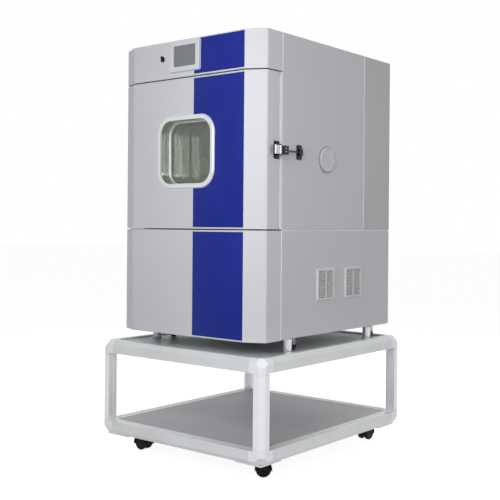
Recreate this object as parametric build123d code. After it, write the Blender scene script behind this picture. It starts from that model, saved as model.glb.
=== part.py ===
from build123d import *
import math
import os

# Bench environmental test chamber standing on a wheeled aluminium trolley.
# Millimetres. Origin: middle of the trolley on the floor. +X right, +Y back, +Z up.

# Trolley
trolley_width = 800.0
trolley_depth = 920.0
trolley_height = 363.0
rail_height = 50.0
rail_groove_width = 2.4
rail_groove_depth = 1.0
rail_groove_drop = 8.5
bar_size = 40.0
bar_bevel = 16.0
bar_wall = 3.0
bar_slot_width = 8.0
bar_slot_depth = 1.2
connector_reach = 60.0
connector_cut = 45.0
deck_thickness = 10.0
deck_recess = 8.0
shelf_recess = 1.0

# Castors
wheel_radius = 27.0
wheel_width = 17.0
wheel_bore_gap = 0.03
axle_radius = 4.0
running_gap = 0.05
castor_trail = 18.0
castor_turn_front_left = 0.0
castor_turn_front_right = 39.0
castor_turn_rear_left = 90.0
castor_turn_rear_right = 90.0
castor_web = 13.0
castor_web_radius = 16.5
wheel_tread = 4.0
wheel_dish_radius = 17.0
wheel_dish_depth = 3.0
wheel_hub_radius = 8.0
hood_lip_height = 21.5
hood_wall = 2.5
hood_gap = 1.5
stem_radius = 8.0
stem_collar_radius = 12.0
boss_radius = 17.0
castor_height = 63.0
castor_inset_x = 104.0
castor_inset_y = 112.0
castor_plate_side = 114.0
castor_plate_thickness = 5.0
castor_plate_cut = 30.0
castor_plate_inset = 18.0

# Cabinet envelope
cabinet_width = 700.0
cabinet_depth = 870.0
cabinet_height = 1090.0
cabinet_back_margin = 8.0
foot_height = 51.0
lower_height = 391.5
fascia_height = 140.3
seam_gap = 4.0
sheet = 1.5
facet_width = 73.0
facet_depth = 37.0
facet_bend_radius = 5.0
edge_bend_radius = 9.0
front_depth = 124.5
door_depth = 104.0
rear_housing_depth = 201.0
panel_fold = 14.0
panel_edge_round = 2.0

# Chamber
chamber_width = 540.0
chamber_height = 409.0
chamber_depth = 464.0
liner_wall = 1.5
liner_corner = 14.0
ledge_height = 62.0
ledge_width = 9.0
ledge_rise = 5.0
gasket_thickness = 8.0
gasket_width = 46.0
gasket_inset = 3.0
seal_gap = 0.4
fit_gap = 0.3

# Window
window_width = 249.0
window_height = 235.0
window_corner = 52.0
window_lift = 5.0
jamb_wall = 2.0
ring_width = 16.0
ring_proud = 6.0
pane_thickness = 5.0
pane_setback = 6.0
inner_ring_width = 14.0
inner_ring_thickness = 2.0

# Door
plug_depth = 14.0
plug_margin = 16.0
plug_taper = 4.0
hinge_offset = 11.0
hinge_pin_radius = 4.0
knuckle_radius = 8.0
knuckle_length = 26.0
knuckle_gap = 0.4
hinge_inset = 84.0
leaf_thickness = 3.0
leaf_length = 44.0
leaf_screw_radius = 2.5

# Latch
latch_height_above_seam = 280.5
latch_plate_length = 63.0
latch_plate_width = 28.0
latch_plate_thickness = 4.0
latch_plate_setback = 3.0
latch_plate_corner = 5.0
latch_pin_radius = 2.5
latch_pin_standoff = 13.0
ear_thickness = 4.0
ear_width = 14.0
lever_height = 30.0
lever_thickness = 8.0
lever_knuckle_radius = 6.0
lever_heel = 4.0
lever_tip_taper = 3.0
lever_edge_round = 1.0
lever_front_reach = 30.0
lever_rear_reach = 9.0
claw_length = 36.0
claw_height = 27.0
claw_thickness = 18.0
claw_edge_round = 3.0
claw_overhang = 2.0
roller_radius = 5.0
roller_height = 12.0
roller_clearance = 3.0
roller_standoff = 1.0
roller_wall = 3.0
strike_arm_length = 84.0
strike_arm_radius = 2.5
strike_plate_length = 27.0
strike_plate_height = 52.0
strike_plate_thickness = 5.0
strike_plate_corner = 4.0
strike_boss_height = 24.0
strike_boss_margin = 5.0
strike_boss_reach = 5.0

# Display and key switch
bezel_width = 146.0
bezel_height = 114.0
bezel_thickness = 9.0
bezel_corner = 7.0
bezel_offset_x = -3.0
bezel_below_top = 62.0
screen_width = 109.0
screen_height = 77.0
screen_shift = 0.0
screen_setback = 2.5
screen_module_depth = 24.0
screen_module_rim_x = 6.0
screen_module_rim_z = 5.0
bezel_edge_round = 3.0
bezel_lip = 1.0
key_offset_x = -116.0
key_below_top = 63.0
key_barrel_radius = 6.0
key_ring_radius = 9.0
key_ring_proud = 3.0
key_ring_round = 1.2
key_shank_radius = 8.4
key_length = 22.0
key_slot_width = 2.4
key_tab_height = 22.0
key_tab_reach = 13.0

# Access ports
port_y = -18.0
port_above_seam = 265.5
port_bore_radius = 40.0
port_wall = 2.0
port_flange_radius = 52.0
port_flange_thickness = 2.5
plug_cap_radius = 46.0
plug_cap_thickness = 6.0
plug_radial_gap = 0.08

# Side grilles and fans
grille_size = 118.0
grille_frame = 9.0
grille_proud = 5.0
grille_mullion = 8.0
grille_slat_pitch = 7.0
grille_slat_thickness = 1.8
grille_slat_angle = 38.0
grille_slat_root = 0.25
grille_slat_chord = 7.3
grille_slat_x = 0.8
grille_corner = 5.0
grille_edge_round = 2.2
grille_depth = 8.0
grille_flange = 4.5
grille_mullion_depth = 3.0
grille_height = 188.5
grille_front_y = -17.0
grille_pitch = 190.5
fan_depth = 34.0
fan_size = 119.0
fan_standoff = 8.5
fan_lip = 6.0
fan_opening_radius = 55.0
fan_hub_radius = 20.0
fan_pin_radius = 3.0
fan_spider_width = 7.0
fan_spider_thickness = 3.0
fan_blades = 7
fan_blade_angle = 32.0
fan_blade_thickness = 1.6
fan_tip_gap = 2.0

# Air circulation
baffle_thickness = 1.5
plenum_depth = 88.0
baffle_margin = 26.0
intake_hole_radius = 6.5
blower_radius = 78.0
blower_width = 34.0
blower_plate = 2.0
blower_blades = 12
blower_shaft_radius = 5.0
blower_hub_radius = 14.0
motor_radius = 48.0
motor_length = 92.0
evaporator_height = 96.0
evaporator_depth = 44.0
evaporator_fins = 22
fin_thickness = 1.2
coil_radius = 5.0
heater_radius = 4.0
heater_span = 300.0
heater_pitch = 26.0
heater_bends = 4

# Shelf
shelf_wire_radius = 2.2
shelf_rim_radius = 3.5
shelf_wires = 15

# Machine compartment
base_rise = 36.0
base_sheet = 2.0
compressor_radius = 72.0
compressor_height = 190.0
condenser_width = 300.0
condenser_height = 230.0
condenser_depth = 48.0
condenser_fins = 26
rear_slot_width = 180.0
rear_slot_height = 7.0
rear_slots = 12

# Feet
foot_radius = 16.5
foot_stem_radius = 5.0
foot_nut_radius = 18.0
foot_nut_height = 6.0
foot_pad_radius = 19.0
foot_pad_height = 6.0
foot_edge_round = 1.5
foot_hole_gap = 0.3
foot_relief_radius = 6.1
foot_stem_short = 6.0
foot_inset_x = 20.0
foot_front_y = -228.0
foot_rear_y = 313.0

# Small clearances and shares used by single parts
strap_front = 3.0
strap_rear = 5.0
door_strap_front = 7.0
door_strap_rear = 2.0
hinge_leaf_gap = 4.0
leaf_screw_near = 0.3
leaf_screw_far = 0.75
fold_round_share = 0.8
panel_lift = 3.0
mid_deck_gap = 2.0
shaft_hole_gap = 2.0
ledge_front_gap = 20.0
ledge_rear_gap = 10.0
rear_slot_rise = 45.0
rear_slot_pitch_share = 2.4
rear_slot_place_share = 0.42
end_round_share = 0.45
ring_round_share = 0.7
port_flange_round = 1.2
plug_cap_round = 2.5
plug_cap_dish = 1.5
plug_cap_dish_share = 0.78

# Panel fans
fan_corner = 6.0
fan_root_overlap = 3.0
fan_pin_end = 8.0
fan_bore_end = 7.4
fan_hub_front = 6.0
fan_hub_rear = 0.6
fan_hub_round = 2.0
fan_chord_share = 0.9

# Air path: baffle, blower, motor, evaporator and heater
baffle_corner = 4.0
baffle_wing_margin = 20.0
intake_pitch_share = 2.8
shroud_inner_share = 0.68
blower_blade_share = 0.34
blower_blade_angle = 35.0
blower_blade_inset = 3.0
blower_hub_length = 14.0
shaft_reach = 30.0
motor_flange_thickness = 6.0
motor_flange_margin = 8.0
motor_round = 8.0
motor_ribs = 8
motor_rib_width = 6.0
motor_rib_thickness = 3.0
motor_rib_share = 0.6
motor_rib_middle = 0.45
evaporator_margin = 120.0
evaporator_lift = 6.0
evaporator_tube_spread = 0.3
evaporator_tube_overhang = 12.0
heater_top_gap = 16.0
heater_strip_share = 0.3
heater_strip_half = 6.0
heater_strip_overhang = 8.0
shelf_front_gap = 26.0
shelf_rear_gap = 16.0
shelf_side_gap = 1.0

# Machine compartment
compressor_place_share = 0.45
compressor_from_front = 250.0
compressor_lift = 20.0
compressor_round_share = 0.45
compressor_leg_radius = 9.0
compressor_leg_height = 40.0
compressor_leg_share = 0.62
compressor_seat_lift = 32.0
compressor_seat_thickness = 5.0
compressor_seat_length = 2.2
compressor_seat_width = 1.6
condenser_rear_gap = 12.0
condenser_tube_overhang = 14.0

# Derived planes
deck_top = castor_height + castor_plate_thickness + trolley_height - deck_recess
frame_bottom = castor_height + castor_plate_thickness
frame_top = frame_bottom + trolley_height
half_w = cabinet_width / 2
back_y = trolley_depth / 2 - cabinet_back_margin
front_y = back_y - cabinet_depth
body_y = front_y + front_depth
door_back_y = front_y + door_depth
rear_y = back_y - rear_housing_depth
bottom_z = deck_top + foot_height
top_z = bottom_z + cabinet_height
seam_z = bottom_z + lower_height
fascia_z = top_z - fascia_height
half_gap = seam_gap / 2
door_low = seam_z + half_gap
door_high = fascia_z - half_gap
door_mid = (door_low + door_high) / 2
chamber_low = door_mid - chamber_height / 2
chamber_high = door_mid + chamber_height / 2
chamber_back = body_y + chamber_depth
frame_front_y = door_back_y + seal_gap + gasket_thickness
baffle_y = chamber_back - plenum_depth
hinge_x = -half_w - hinge_offset
hinge_y = door_back_y + hinge_offset - seal_gap
port_z = seam_z + port_above_seam
latch_z = seam_z + latch_height_above_seam
port_outer_x = half_w + port_flange_thickness
blower_y = baffle_y + 16.0


def span(x0, x1, y0, y1, z0, z1):
    """Box between two corners."""
    size = Box(x1 - x0, y1 - y0, z1 - z0)
    return Pos((x0 + x1) / 2, (y0 + y1) / 2, (z0 + z1) / 2) * size


def rod_x(radius, x0, x1, y, z):
    return Pos((x0 + x1) / 2, y, z) * Rot(0, 90, 0) * Cylinder(radius, x1 - x0)


def rod_y(radius, y0, y1, x, z):
    return Pos(x, (y0 + y1) / 2, z) * Rot(90, 0, 0) * Cylinder(radius, y1 - y0)


def rod_z(radius, z0, z1, x, y):
    return Pos(x, y, (z0 + z1) / 2) * Cylinder(radius, z1 - z0)


def slab_y(face, y0, y1, x=0.0, z=0.0):
    """A flat outline drawn in X and Z, given thickness from y0 to y1."""
    plane = Plane(origin=(x, y0, z), x_dir=(1, 0, 0), z_dir=(0, 1, 0))
    return extrude(plane * mirror(face, about=Plane.XZ), y1 - y0)


def rounded(width, height, radius):
    return RectangleRounded(width, height, radius)


nodes = {}


def corner_copies(piece):
    """The piece and its mirror images in the four corners of the plan."""
    right = [piece, mirror(piece, about=Plane.XZ)]
    return right + [mirror(p, about=Plane.YZ) for p in right]


# Trolley: bevelled hollow bars, three-way corner connectors and two decks
def bar(plane, height, length):
    """Hollow bar along the plane's normal, with its bevel towards local +X and +Y."""
    across = bar_size / 2
    up = height / 2
    outer = Polyline(
        (-across, -up),
        (across, -up),
        (across, up - bar_bevel),
        (across - bar_bevel, up),
        (-across, up),
        close=True,
    )
    section = make_face(outer)
    section -= offset(section, -bar_wall, kind=Kind.INTERSECTION)
    slot = Rectangle(bar_slot_width, bar_slot_depth * 2)
    section -= Pos(0, -up) * slot
    section -= Pos(-across, 0) * Rot(0, 0, 90) * slot
    return extrude(plane * section, length)


def build_trolley():
    half_x = trolley_width / 2
    half_y = trolley_depth / 2
    centre_x = half_x - bar_size / 2
    centre_y = half_y - bar_size / 2
    centre_high = frame_top - rail_height / 2
    post_plane = Plane(origin=(centre_x, centre_y, frame_bottom + connector_reach), z_dir=(0, 0, 1))
    post = bar(post_plane, bar_size, trolley_height - 2 * connector_reach)
    nodes["trolley_posts"] = Compound(children=corner_copies(post))

    # Rails: the bevel always faces the outside of the frame
    x_start = (-half_x + connector_reach, centre_y, centre_high)
    x_plane = Plane(origin=x_start, x_dir=(0, 1, 0), z_dir=(1, 0, 0))
    x_rail = bar(x_plane, rail_height, trolley_width - 2 * connector_reach)
    y_start = (centre_x, half_y - connector_reach, centre_high)
    y_plane = Plane(origin=y_start, x_dir=(1, 0, 0), z_dir=(0, -1, 0))
    y_rail = bar(y_plane, rail_height, trolley_depth - 2 * connector_reach)
    level = Plane(origin=(0, 0, (frame_bottom + frame_top) / 2), z_dir=(0, 0, 1))
    rails = [x_rail, mirror(x_rail, about=Plane.XZ), y_rail, mirror(y_rail, about=Plane.YZ)]
    low_rails = [mirror(r, about=level) for r in rails]
    groove_z = frame_bottom + rail_height - rail_groove_drop
    grooves = Pos(0, 0, groove_z) * (
        Box(trolley_width, trolley_depth, rail_groove_width)
        - Box(trolley_width - 2 * rail_groove_depth, trolley_depth - 2 * rail_groove_depth, rail_height)
    )
    rails += [r - grooves for r in low_rails]
    nodes["trolley_rails"] = Compound(children=rails)

    # Connector in the corner +X +Y +Z, bevelled like the bars and cut across its corner
    bar_x = half_x - bar_size
    bar_y = half_y - bar_size
    rail_low = frame_top - rail_height
    arm = span(half_x - connector_reach, half_x, bar_y, half_y, rail_low, frame_top)
    arm += span(bar_x, half_x, half_y - connector_reach, half_y, rail_low, frame_top)
    arm += span(bar_x, half_x, bar_y, half_y, frame_top - connector_reach, frame_top)
    reach = connector_reach * 2
    corner = Pos(half_x, half_y, frame_top)
    bevel_side = bar_bevel * math.sqrt(2)
    arm -= corner * Rot(45, 0, 0) * Box(reach, bevel_side, bevel_side)
    arm -= corner * Rot(0, 45, 0) * Box(bevel_side, reach, bevel_side)
    arm -= corner * Rot(0, 0, 45) * Box(bevel_side, bevel_side, reach)
    cut_distance = connector_cut / math.sqrt(3)
    cut_plane = Plane(origin=(half_x, half_y, frame_top), z_dir=(1, 1, 1)).offset(-cut_distance)
    arm -= extrude(cut_plane * Rectangle(reach, reach), reach)
    connectors = corner_copies(arm)
    connectors += [mirror(c, about=level) for c in connectors]
    nodes["corner_connectors"] = Compound(children=connectors)

    nodes["trolley_top"] = span(-bar_x, bar_x, -bar_y, bar_y, deck_top - deck_thickness, deck_top)
    shelf_top = frame_bottom + rail_height - shelf_recess
    nodes["trolley_shelf"] = span(-bar_x, bar_x, -bar_y, bar_y, shelf_top - deck_thickness, shelf_top)


# Castors: gusset plate with bearing boss, hooded housing, twin wheels on one axle
def build_castors():
    place_x = trolley_width / 2 - castor_inset_x
    place_y = trolley_depth / 2 - castor_inset_y
    plate_x = trolley_width / 2 - castor_plate_inset
    plate_y = trolley_depth / 2 - castor_plate_inset
    hood_top = wheel_radius * 2 + hood_gap + hood_wall
    boss_low = hood_top + fit_gap * 2
    outline = make_face(
        Polyline(
            (plate_x - castor_plate_side, plate_y),
            (plate_x, plate_y),
            (plate_x, plate_y - castor_plate_side),
            (plate_x - castor_plate_side + castor_plate_cut, plate_y - castor_plate_side),
            (plate_x - castor_plate_side, plate_y - castor_plate_side + castor_plate_cut),
            close=True,
        )
    )
    plate = extrude(Plane.XY.offset(castor_height) * outline, castor_plate_thickness)
    plate += rod_z(boss_radius, boss_low, castor_height, place_x, place_y)
    plate -= rod_z(stem_radius + running_gap, 0, frame_bottom, place_x, place_y)
    nodes["castor_plates"] = Compound(children=corner_copies(plate))

    housing = castor_housing(hood_top)
    wheels = castor_wheels()
    corners = {
        "front_left": (-1, -1, castor_turn_front_left),
        "front_right": (1, -1, castor_turn_front_right),
        "rear_left": (-1, 1, castor_turn_rear_left),
        "rear_right": (1, 1, castor_turn_rear_right),
    }
    for name, (side_x, side_y, turn) in corners.items():
        place = Pos(side_x * place_x, side_y * place_y, 0) * Rot(0, 0, turn)
        nodes["castor_housing_" + name] = place * housing
        nodes["castor_wheels_" + name] = Compound(children=[place * piece for piece in wheels])


def castor_housing(hood_top):
    """Hood, web, collar and stem; the stem on the Z axis and the axle behind it along Y."""
    hood_radius = wheel_radius + hood_gap + hood_wall
    hood_width = castor_web + 2 * (wheel_width + hood_gap)
    hood = rod_y(hood_radius, -hood_width / 2, hood_width / 2, castor_trail, wheel_radius)
    skirt = span(-hood_radius, hood_radius, -hood_width, hood_width, -wheel_radius, hood_lip_height)
    hood -= Pos(castor_trail, 0, 0) * skirt
    well = rod_y(wheel_radius + hood_gap, castor_web / 2, hood_width, castor_trail, wheel_radius)
    wells = well + mirror(well, about=Plane.XZ)
    web = rod_y(castor_web_radius, -castor_web / 2, castor_web / 2, castor_trail, wheel_radius)
    collar = rod_z(stem_collar_radius, wheel_radius, hood_top, 0, 0)
    stem = rod_z(stem_radius, hood_top - running_gap, frame_bottom - fit_gap, 0, 0)
    housing = (hood + web + collar) - wells + stem
    return housing - rod_y(axle_radius + running_gap, -hood_width, hood_width, castor_trail, wheel_radius)


def castor_wheels():
    """Two dished wheels and their axle, in the housing's place."""
    half = wheel_width / 2
    bore = axle_radius + wheel_bore_gap
    profile = make_face(
        Polyline(
            (bore, -half),
            (wheel_radius - wheel_tread, -half),
            (wheel_radius, -half + wheel_tread),
            (wheel_radius, half - wheel_tread),
            (wheel_radius - wheel_tread, half),
            (wheel_dish_radius + wheel_dish_depth, half),
            (wheel_dish_radius, half - wheel_dish_depth),
            (wheel_hub_radius, half - wheel_dish_depth),
            (bore, half),
            close=True,
        )
    )
    wheel = Rot(-90, 0, 0) * revolve(Plane.XZ * profile, Axis.Z)
    offset_y = castor_web / 2 + hood_gap / 2 + half
    right = Pos(castor_trail, offset_y, wheel_radius) * wheel
    left = mirror(right, about=Plane.XZ)
    axle = rod_y(axle_radius, -offset_y - half, offset_y + half, castor_trail, wheel_radius)
    return [right, left, axle]


# Front shells: folded sheet with a flat middle and two swept-back facets
def front_outline(inset, back):
    """Plan outline of the front, moved inwards by inset and closed at the plane back."""
    left = half_w - inset
    side = front_y + facet_depth + inset * 0.8
    flat = half_w - facet_width - inset * 0.2
    points = Polyline(
        (-left, back),
        (-left, side),
        (-flat, front_y + inset),
        (flat, front_y + inset),
        (left, side),
        (left, back),
        close=True,
    )
    face = make_face(points)
    bends = face.vertices().sort_by(Axis.Y)
    face = fillet(bends[0:2], facet_bend_radius)
    corners = [v for v in face.vertices() if abs(abs(v.X) - left) < 0.01 and v.Y < back - 1]
    return fillet(corners, edge_bend_radius)


def front_shell(z0, z1, back):
    outer = extrude(Plane.XY.offset(z0) * front_outline(0, back), z1 - z0)
    rim = []
    for edge in outer.edges():
        middle = edge.center()
        on_rim = min(abs(middle.Z - z0), abs(middle.Z - z1)) < 0.01
        if on_rim and middle.Y < back - 1:
            rim.append(edge)
    outer = fillet(rim, panel_edge_round)
    inner = extrude(Plane.XY.offset(z0 + sheet) * front_outline(sheet, back + sheet), z1 - z0 - 2 * sheet)
    return outer - inner


def window_hole(grow, y0, y1):
    face = rounded(window_width + 2 * grow, window_height + 2 * grow, window_corner + grow)
    return slab_y(face, y0, y1, 0, door_mid + window_lift)


def build_front():
    # Display opening and key hole in the fascia
    fascia = front_shell(fascia_z + half_gap, top_z, body_y)
    bezel_z = top_z - bezel_below_top
    screen_z = bezel_z + screen_shift
    bezel_front = front_y - bezel_thickness
    module_front = bezel_front + screen_setback + bezel_lip
    module_width = screen_width + 2 * screen_module_rim_x
    module_height = screen_height + 2 * screen_module_rim_z
    module_face = Rectangle(module_width, module_height)
    key_z = top_z - key_below_top
    fascia -= slab_y(module_face, front_y - 1, front_y + sheet + 1, bezel_offset_x, screen_z)
    fascia -= rod_y(key_shank_radius + fit_gap, front_y - 1, front_y + sheet + 1, key_offset_x, key_z)
    nodes["fascia"] = fascia

    bezel_face = rounded(bezel_width, bezel_height, bezel_corner)
    bezel = slab_y(bezel_face, bezel_front, front_y, bezel_offset_x, bezel_z)
    bezel = fillet([e for e in bezel.edges() if e.center().Y < bezel_front + 0.01], bezel_edge_round)
    bezel -= slab_y(Rectangle(screen_width, screen_height), bezel_front, front_y, bezel_offset_x, screen_z)
    bezel -= slab_y(module_face, module_front, front_y, bezel_offset_x, screen_z)
    nodes["display_bezel"] = bezel
    nodes["display_screen"] = slab_y(
        Rectangle(module_width - fit_gap, module_height - fit_gap),
        module_front,
        module_front + screen_module_depth,
        bezel_offset_x,
        screen_z,
    )

    # Key switch: ring and shank, with the barrel and its key turning in them
    ring_front = front_y - key_ring_proud
    ring = rod_y(key_ring_radius, ring_front, front_y, key_offset_x, key_z)
    ring = fillet([e for e in ring.edges() if e.center().Y < ring_front + 0.01], key_ring_round)
    ring += rod_y(key_shank_radius, front_y, front_y + key_length, key_offset_x, key_z)
    bore_end = front_y + key_length - 2 * bezel_lip
    ring -= rod_y(key_barrel_radius + running_gap, ring_front, bore_end, key_offset_x, key_z)
    nodes["key_switch_body"] = ring
    barrel = rod_y(key_barrel_radius, ring_front - bezel_lip, bore_end - fit_gap, key_offset_x, key_z)
    tab_face = rounded(key_slot_width, key_tab_height, key_slot_width * end_round_share)
    barrel += slab_y(tab_face, ring_front - key_tab_reach, ring_front, key_offset_x, key_z)
    nodes["key_barrel"] = barrel

    nodes["lower_cover"] = front_shell(bottom_z, seam_z - half_gap, body_y)


def build_door():
    skin = front_shell(door_low, door_high, door_back_y)
    skin -= window_hole(jamb_wall, front_y - 5, front_y + 20)
    nodes["door_skin"] = skin

    pan_front = door_back_y - sheet
    plug_w = chamber_width / 2 - plug_margin
    plug_h = chamber_height / 2 - plug_margin
    plug_back = door_back_y + plug_depth
    core = extrude(
        Plane.XY.offset(door_low + sheet) * front_outline(sheet, pan_front),
        door_high - door_low - 2 * sheet,
    )
    core += loft_plug(plug_w - sheet, plug_h - sheet, pan_front, plug_back - sheet)
    core -= window_hole(jamb_wall, front_y - 5, plug_back + 5)
    nodes["door_insulation"] = core

    pan_face = Rectangle(2 * (half_w - sheet), door_high - door_low - 2 * sheet)
    pan = slab_y(pan_face, pan_front, door_back_y, 0, door_mid)
    pan += loft_plug(plug_w, plug_h, door_back_y - sheet, plug_back)
    pan -= loft_plug(plug_w - sheet, plug_h - sheet, pan_front, plug_back - sheet)
    pan -= window_hole(jamb_wall, front_y, plug_back + 5)
    nodes["door_inner_pan"] = pan

    # Window: jamb tube, outer and inner rings, three panes
    jamb = window_hole(jamb_wall, front_y, plug_back) - window_hole(0, front_y - 1, plug_back + 1)
    nodes["window_frame"] = jamb
    ring = window_hole(ring_width, front_y - ring_proud, front_y)
    ring_front = front_y - ring_proud
    ring_edges = [e for e in ring.edges() if e.center().Y < ring_front + 0.01]
    ring = fillet(ring_edges, ring_proud * ring_round_share)
    ring -= window_hole(0, front_y - ring_proud - 1, front_y + 1)
    inner_ring = window_hole(inner_ring_width, plug_back, plug_back + inner_ring_thickness)
    inner_ring -= window_hole(0, plug_back - 1, plug_back + inner_ring_thickness + 1)
    nodes["window_ring"] = Compound(children=[ring, inner_ring])
    first = front_y + pane_setback
    last = plug_back - pane_setback - pane_thickness
    middle = (first + last) / 2
    panes = [window_hole(-fit_gap, y, y + pane_thickness) for y in (first, middle, last)]
    nodes["window_panes"] = Compound(children=panes)


def loft_plug(half_x, half_z, y0, y1):
    """Raised centre of the inner pan, drafted on all four sides."""
    base = Plane(origin=(0, y0, door_mid), x_dir=(1, 0, 0), z_dir=(0, 1, 0))
    base = base * Rectangle(2 * half_x, 2 * half_z)
    tip = Plane(origin=(0, y1, door_mid), x_dir=(1, 0, 0), z_dir=(0, 1, 0))
    tip = tip * Rectangle(2 * (half_x - plug_taper), 2 * (half_z - plug_taper))
    return loft([base, tip])


def build_hinges():
    frame_parts = []
    door_parts = []
    leaf_outer = -half_w - leaf_thickness
    leaf_y = body_y + hinge_leaf_gap
    for z in (door_low + hinge_inset, door_high - hinge_inset):
        # Lower knuckle and pin stay on the cabinet, upper knuckle swings with the door
        foot = z - knuckle_length
        head = z + knuckle_length
        low = rod_z(knuckle_radius, foot, z, hinge_x, hinge_y)
        leaf = span(leaf_outer, -half_w, hinge_y, leaf_y + leaf_length, foot, z)
        strap = span(hinge_x, -half_w, hinge_y - strap_front, hinge_y + strap_rear, foot, z)
        frame_half = low + leaf + strap
        for share in (leaf_screw_near, leaf_screw_far):
            screw_y = leaf_y + leaf_length * share
            screw_z = z - knuckle_length / 2
            frame_half -= rod_x(leaf_screw_radius, hinge_x, -half_w, screw_y, screw_z)
        pin = rod_z(hinge_pin_radius, foot, head, hinge_x, hinge_y)
        frame_half -= pin
        frame_parts += [frame_half, pin]

        base = z + knuckle_gap
        leaf_back = hinge_y - door_strap_rear
        high = rod_z(knuckle_radius, base, head, hinge_x, hinge_y)
        door_leaf = span(leaf_outer, -half_w, door_back_y - leaf_length, leaf_back, base, head)
        door_strap = span(hinge_x, -half_w, hinge_y - door_strap_front, leaf_back, base, head)
        door_half = high + door_leaf + door_strap
        for share in (leaf_screw_near, leaf_screw_far):
            screw_y = door_back_y - leaf_length * share
            screw_z = z + knuckle_length / 2
            door_half -= rod_x(leaf_screw_radius, hinge_x, -half_w, screw_y, screw_z)
        door_half -= rod_z(hinge_pin_radius + running_gap, z - 1, head + 1, hinge_x, hinge_y)
        door_parts.append(door_half)
    nodes["frame_hinge_halves"] = Compound(children=frame_parts)
    nodes["door_hinge_halves"] = Compound(children=door_parts)


def build_latch():
    plate_front = door_back_y - latch_plate_setback - latch_plate_width
    plate_back = door_back_y - latch_plate_setback
    plate_face = half_w + latch_plate_thickness
    pin_y = (plate_front + plate_back) / 2
    pin_x = plate_face + latch_pin_standoff
    half_plate = latch_plate_length / 2
    plate = span(half_w, plate_face, plate_front, plate_back, latch_z - half_plate, latch_z + half_plate)
    plate = fillet(plate.edges().filter_by(Axis.X), latch_plate_corner)
    ear_z = lever_height / 2 + fit_gap
    for side in (-1, 1):
        middle = latch_z + side * (ear_z + ear_thickness / 2)
        arm = Box(latch_pin_standoff, ear_width, ear_thickness)
        plate += Pos(plate_face + latch_pin_standoff / 2, pin_y, middle) * arm
        plate += Pos(pin_x, pin_y, middle) * Cylinder(ear_width / 2, ear_thickness)
    reach = ear_z + ear_thickness
    pin = rod_z(latch_pin_radius, latch_z - reach, latch_z + reach, pin_x, pin_y)
    plate -= pin
    nodes["latch_base"] = Compound(children=[plate, pin])

    # Lever: a tapered bar on the pin, with the claw block at its rear end
    inner = pin_x - lever_thickness / 2
    outer = pin_x + lever_thickness / 2
    tip_y = pin_y - lever_front_reach
    claw_front = pin_y + lever_rear_reach
    claw_back = claw_front + claw_length
    outline = make_face(
        Polyline(
            (inner, pin_y - lever_heel),
            (outer - lever_tip_taper, tip_y),
            (outer, tip_y + claw_overhang),
            (outer, claw_front + claw_overhang),
            (inner, claw_front + claw_overhang),
            close=True,
        )
    )
    lever_low = latch_z - lever_height / 2
    lever_high = latch_z + lever_height / 2
    lever = extrude(Plane.XY.offset(lever_low) * outline, lever_height)
    lever = fillet(lever.edges().filter_by(Axis.Z), lever_edge_round)
    lever += rod_z(lever_knuckle_radius, lever_low, lever_high, pin_x, pin_y)
    claw_outer = outer + claw_overhang
    claw_low = latch_z - claw_height / 2
    claw_high = latch_z + claw_height / 2
    claw = span(claw_outer - claw_thickness, claw_outer, claw_front, claw_back, claw_low, claw_high)
    claw = fillet(claw.edges().filter_by(Axis.Y), claw_edge_round)

    # The claw lies over the strike's roller, clear of it, and is open to the panel and the rear
    roller_x = half_w + strike_plate_thickness + roller_radius + roller_standoff
    roller_y = claw_back - roller_radius - roller_wall
    recess_half = roller_height / 2 + roller_clearance
    recess = span(
        half_w,
        roller_x + roller_radius + roller_clearance,
        roller_y - roller_radius - roller_clearance,
        claw_back + 1,
        latch_z - recess_half,
        latch_z + recess_half,
    )
    lever += claw
    lever -= recess
    lever -= rod_z(latch_pin_radius + running_gap, lever_low - 1, lever_high + 1, pin_x, pin_y)
    nodes["latch_lever"] = lever

    # Strike: base plate on the side panel, thin rod and the roller under the claw
    strike_front = roller_y + strike_arm_length
    strike_back = strike_front + strike_plate_length
    strike_face = half_w + strike_plate_thickness
    strike_low = latch_z - strike_plate_height / 2
    strike_high = strike_low + strike_plate_height
    strike = span(half_w, strike_face, strike_front, strike_back, strike_low, strike_high)
    strike = fillet(strike.edges().filter_by(Axis.X), strike_plate_corner)
    boss_front = strike_front + strike_boss_margin
    boss_back = strike_back - strike_boss_margin
    half_boss = strike_boss_height / 2
    boss_outer = roller_x + strike_boss_reach
    boss = span(half_w, boss_outer, boss_front, boss_back, latch_z - half_boss, latch_z + half_boss)
    boss = fillet(boss.edges().filter_by(Axis.Z), strike_plate_corner)
    strike += boss
    strike += rod_y(strike_arm_radius, roller_y, boss_front + 1, roller_x, latch_z)
    roller_low = latch_z - roller_height / 2
    strike += rod_z(roller_radius, roller_low, roller_low + roller_height, roller_x, roller_y)
    nodes["latch_strike"] = strike


# Cabinet body
def side_panel(side, y0, y1, z0, z1, hole=None):
    """Tray-shaped side sheet with its four edges folded inwards."""
    outer_x = side * half_w
    inner_x = side * (half_w - panel_fold)
    low, high = sorted((outer_x, inner_x))
    panel = span(low, high, y0, y1, z0, z1)
    low, high = sorted((side * (half_w - sheet), side * (half_w - panel_fold - 1)))
    panel -= span(low, high, y0 + sheet, y1 - sheet, z0 + sheet, z1 - sheet)
    outer_edges = [e for e in panel.edges() if abs(e.center().X - outer_x) < 0.01]
    panel = fillet(outer_edges, sheet * fold_round_share)
    if hole is not None:
        panel -= hole
    return panel


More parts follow.
